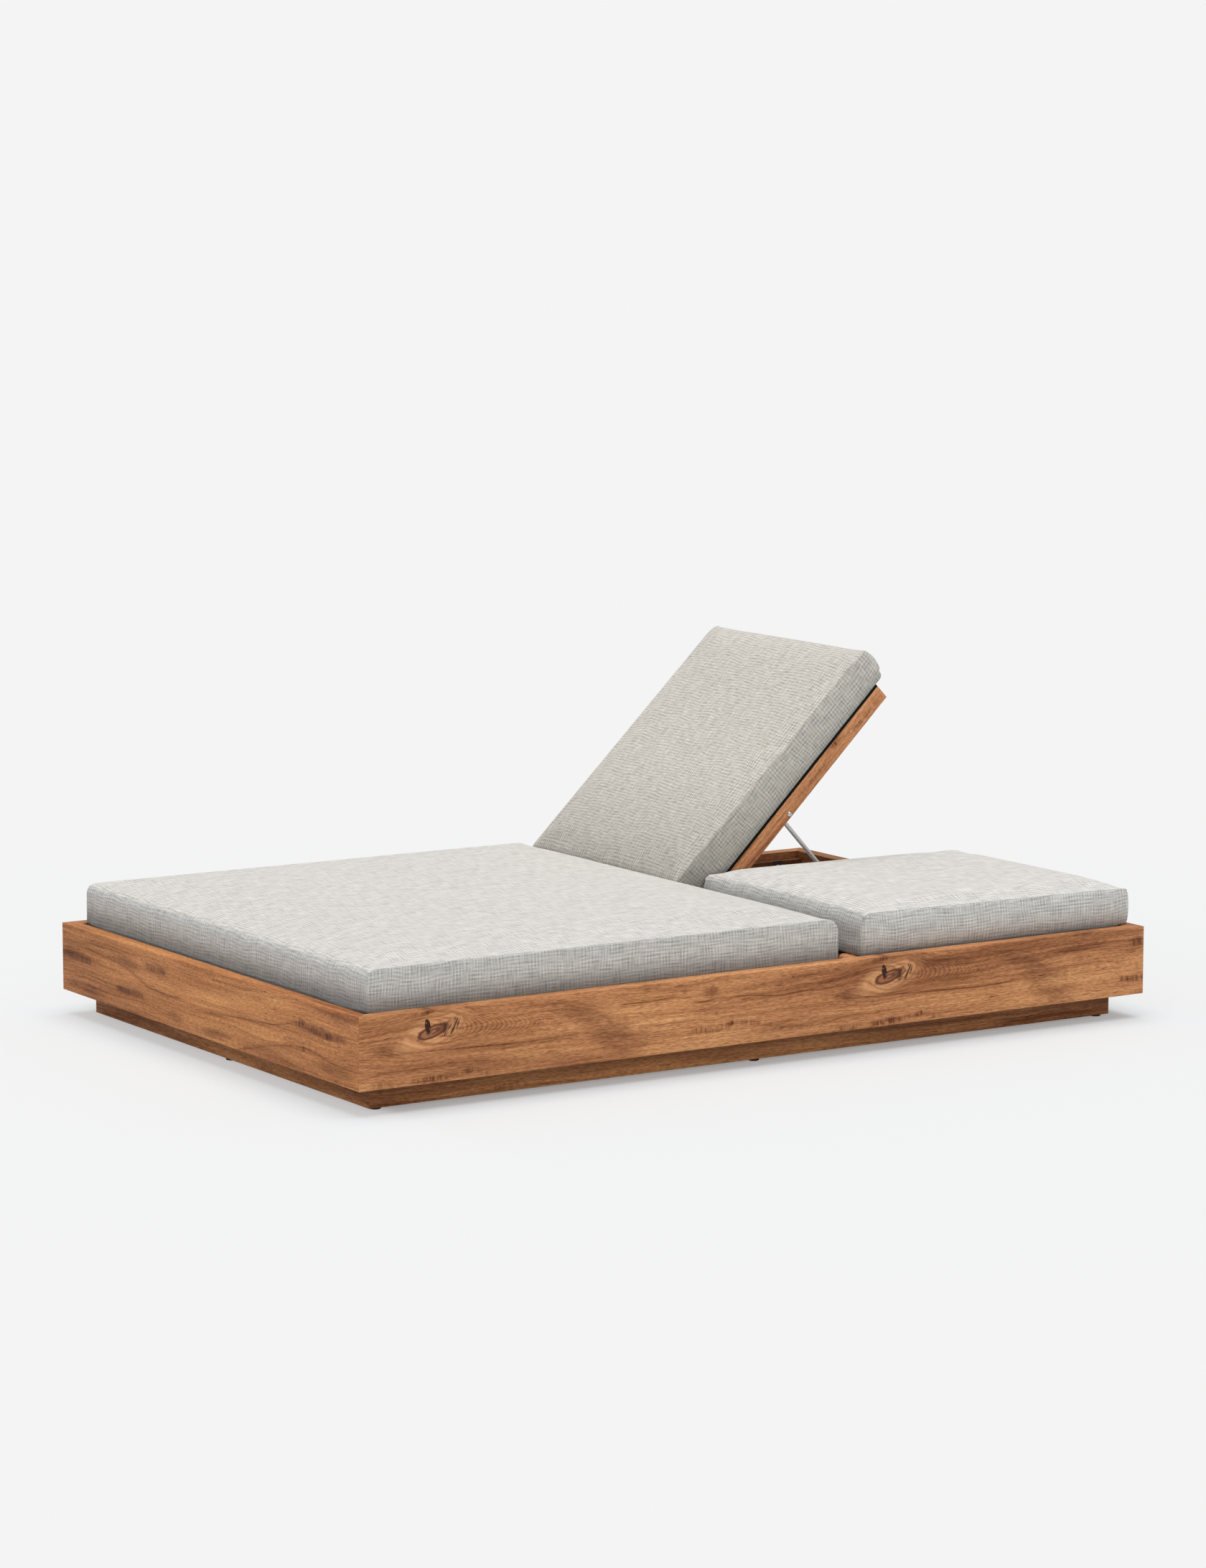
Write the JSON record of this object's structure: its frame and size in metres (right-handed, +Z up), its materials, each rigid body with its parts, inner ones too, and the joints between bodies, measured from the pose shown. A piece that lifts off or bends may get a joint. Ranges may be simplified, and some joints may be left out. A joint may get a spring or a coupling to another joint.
{
  "type": "double chaise lounger",
  "caption": "Low platform lounger for two in oiled teak: a wide seat cushion and side-by-side backrests with loose cushions, each raised on a bent steel prop in notched racks.",
  "frame": {"origin": "on the floor under the middle of the platform", "axes": "+Z up, +Y towards the head end where the backrests are, +X to the left of a person lying on the lounger"},
  "size_m": [1.334, 2, 0.7721],
  "materials": {
    "teak_rim": "oiled teak, satin",
    "teak_plinth": "oiled teak, satin, darker",
    "teak_inside": "planed teak, matt",
    "teak_back": "oiled teak, satin",
    "linen": "woven light greige upholstery cloth, matt",
    "black_liner": "matt black sheet",
    "black_plastic": "matt black",
    "prop_steel": "bright drawn rod",
    "bright_steel": "bright stainless"
  },
  "bodies": {
    "base": {"back_centre_beam": "teak_inside", "corner_blocks": "teak_inside", "cross_bearer_head": "teak_inside", "cross_bearer_middle": "teak_inside", "cross_bearer_prop": "prop_steel", "cross_bearer_seat": "teak_inside", "frame_screws": "bright_steel", "glides": "black_plastic", "hinge_beam": "teak_inside", "hinge_bolts": "bright_steel", "hinge_brackets": "bright_steel", "hinge_nuts": "bright_steel", "ledger_foot": "teak_inside", "ledger_head": "teak_inside", "ledger_left": "teak_inside", "ledger_right": "teak_inside", "left_inner_rack": "teak_inside", "left_outer_rack": "teak_inside", "plinth_foot": "teak_plinth", "plinth_head": "teak_plinth", "plinth_left": "teak_plinth", "plinth_right": "teak_plinth", "rest_angle_left": "bright_steel", "rest_angle_right": "bright_steel", "right_inner_rack": "teak_inside", "right_outer_rack": "teak_inside", "rim_foot": "teak_rim", "rim_head": "teak_rim", "rim_left": "teak_rim", "rim_right": "teak_rim", "seat_bearer_centre": "teak_inside", "seat_bearer_left": "teak_inside", "seat_bearer_right": "teak_inside", "seat_cushion": "linen", "seat_slats": "teak_inside"},
    "left_back": {"left_back_cushion": "linen", "left_back_foot_bar": "teak_back", "left_back_head_bar": "teak_back", "left_back_liner": "black_liner", "left_back_slats": "teak_back", "left_inner_rail": "teak_back", "left_outer_rail": "teak_back", "left_prop_bolts": "bright_steel", "left_prop_nuts": "bright_steel", "left_prop_spacers": "bright_steel"},
    "left_prop": {"left_prop": "prop_steel"},
    "right_back": {"right_back_cushion": "linen", "right_back_foot_bar": "teak_back", "right_back_head_bar": "teak_back", "right_back_liner": "black_liner", "right_back_slats": "teak_back", "right_inner_rail": "teak_back", "right_outer_rail": "teak_back", "right_prop_bolts": "bright_steel", "right_prop_nuts": "bright_steel", "right_prop_spacers": "bright_steel"},
    "right_prop": {"right_prop": "prop_steel"}
  },
  "joints": [
    {"name": "left_back_hinge", "type": "hinge", "parent": "base", "child": "left_back", "pos_m": [0, 0.256, 0.186], "axis": [1, 0, 0], "range_deg": [0, 44.2]},
    {"name": "left_prop_pivot", "type": "hinge", "parent": "left_back", "child": "left_prop", "pos_m": [0, 0.593, 0.171], "axis": [1, 0, 0], "range_deg": [-88.4, 0]},
    {"name": "right_back_hinge", "type": "hinge", "parent": "base", "child": "right_back", "pos_m": [0, 0.256, 0.186], "axis": [1, 0, 0], "range_deg": [-44.2, 0]},
    {"name": "right_prop_pivot", "type": "hinge", "parent": "right_back", "child": "right_prop", "pos_m": [0, 0.50806, 0.41019], "axis": [1, 0, 0], "range_deg": [0, 88.4]}
  ],
  "couplings": [
    {"joint": "left_prop_pivot", "follows": "left_back_hinge", "ratio": -2},
    {"joint": "right_prop_pivot", "follows": "right_back_hinge", "ratio": -2}
  ]
}
